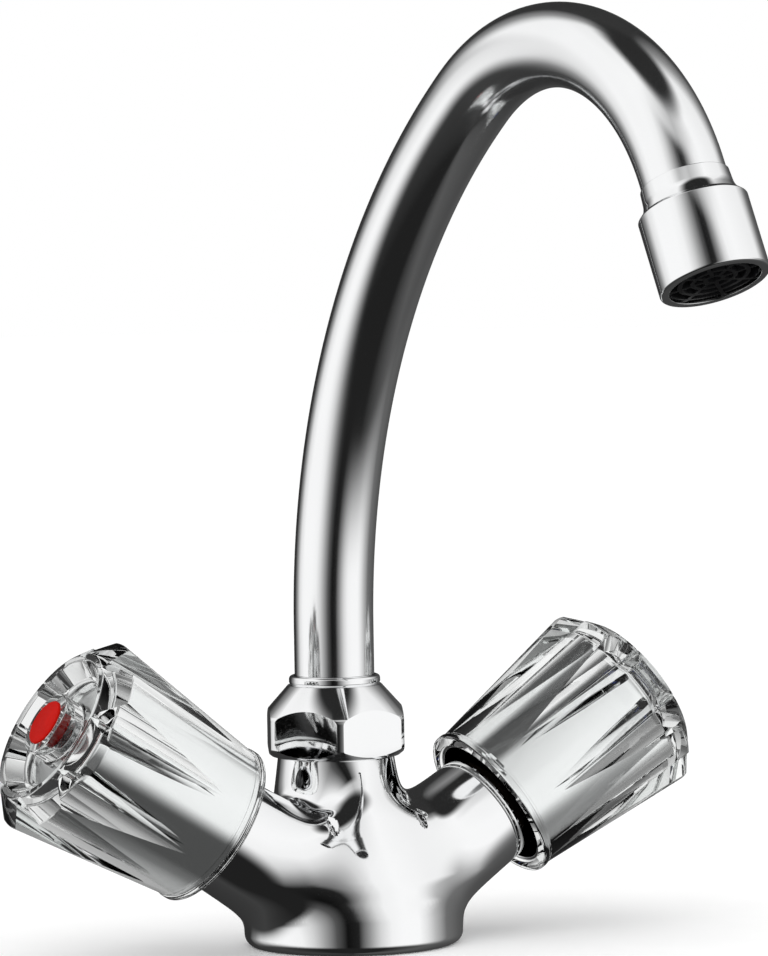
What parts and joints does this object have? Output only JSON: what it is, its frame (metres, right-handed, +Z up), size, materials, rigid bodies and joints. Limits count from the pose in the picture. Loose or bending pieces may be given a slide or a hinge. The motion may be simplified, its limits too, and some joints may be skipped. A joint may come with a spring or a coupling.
{
  "type": "kitchen mixer tap",
  "caption": "Deck-mounted kitchen mixer tap: Y-shaped chromed casting, swivelling swan-neck spout with a screwed aerator, and fluted clear handles that open the hot and cold valves.",
  "frame": {"origin": "centre of the underside of the base, on the face that stands on the deck", "axes": "+Z up out of the deck, the spout reaches over -Y, the handles stand along X with hot at -X and cold at +X"},
  "size_m": [0.166, 0.1679, 0.2073],
  "materials": {
    "chrome_casting": "polished chrome plate on brass",
    "chrome_nut": "polished chrome plate",
    "chrome_spout": "satin-bright chrome plate on brass tube",
    "chrome_sleeve": "bright chrome plate",
    "clear_acrylic": "clear, polished",
    "red_plastic": "glossy",
    "blue_plastic": "glossy",
    "turned_brass": "turned",
    "black_rubber": "matt",
    "fibre": "matt fibre",
    "white_plastic": "moulded",
    "black_plastic": "moulded",
    "bright_steel": "bright steel",
    "spring_steel": "bright spring steel"
  },
  "bodies": {
    "tap_body": {"body_casting": "chrome_casting", "base_seal": "black_rubber", "union_nut": "chrome_nut", "nut_ring": "chrome_nut", "slip_ring": "white_plastic", "hot_headwork": "turned_brass", "hot_headwork_seal": "fibre", "cold_headwork": "turned_brass", "cold_headwork_seal": "fibre"},
    "spout": {"spout_tube": "chrome_spout", "spout_foot": "turned_brass", "spout_o_rings": "black_rubber", "outlet_adapter": "chrome_spout", "aerator_housing": "chrome_spout", "aerator_washer": "black_rubber", "aerator_screen": "black_plastic", "aerator_insert": "black_plastic"},
    "hot_handle": {"hot_handle_shell": "clear_acrylic", "hot_handle_sleeve": "chrome_sleeve", "hot_spline_insert": "turned_brass", "hot_handle_screw": "bright_steel", "hot_index_button": "red_plastic", "hot_spindle": "turned_brass", "hot_spindle_o_ring": "black_rubber", "hot_circlip": "spring_steel"},
    "hot_valve": {"hot_jumper": "turned_brass", "hot_valve_washer": "black_rubber", "hot_washer_screw": "turned_brass"},
    "cold_handle": {"cold_handle_shell": "clear_acrylic", "cold_handle_sleeve": "chrome_sleeve", "cold_spline_insert": "turned_brass", "cold_handle_screw": "bright_steel", "cold_index_button": "blue_plastic", "cold_spindle": "turned_brass", "cold_spindle_o_ring": "black_rubber", "cold_circlip": "spring_steel"},
    "cold_valve": {"cold_jumper": "turned_brass", "cold_valve_washer": "black_rubber", "cold_washer_screw": "turned_brass"}
  },
  "joints": [
    {"name": "spout_swivel", "type": "hinge", "parent": "tap_body", "child": "spout", "pos_m": [0, 0.0075, 0.05], "axis": [0, 0, 1], "continuous": true},
    {"name": "hot_handle_turn", "type": "hinge", "parent": "tap_body", "child": "hot_handle", "pos_m": [0, 0, 0.0065], "axis": [-0.8434, 0, 0.5373], "range_deg": [0, 900]},
    {"name": "hot_valve_lift", "type": "slide", "parent": "tap_body", "child": "hot_valve", "axis": [-0.8434, 0, 0.5373], "range_m": [0, 0.00376]},
    {"name": "cold_handle_turn", "type": "hinge", "parent": "tap_body", "child": "cold_handle", "pos_m": [0, 0, 0.0065], "axis": [0.8434, 0, 0.5373], "range_deg": [0, 900]},
    {"name": "cold_valve_lift", "type": "slide", "parent": "tap_body", "child": "cold_valve", "axis": [0.8434, 0, 0.5373], "range_m": [0, 0.00376]}
  ],
  "couplings": [
    {"joint": "hot_valve_lift", "follows": "hot_handle_turn", "m_per_rad": 0.00023873},
    {"joint": "cold_valve_lift", "follows": "cold_handle_turn", "m_per_rad": 0.00023873}
  ]
}
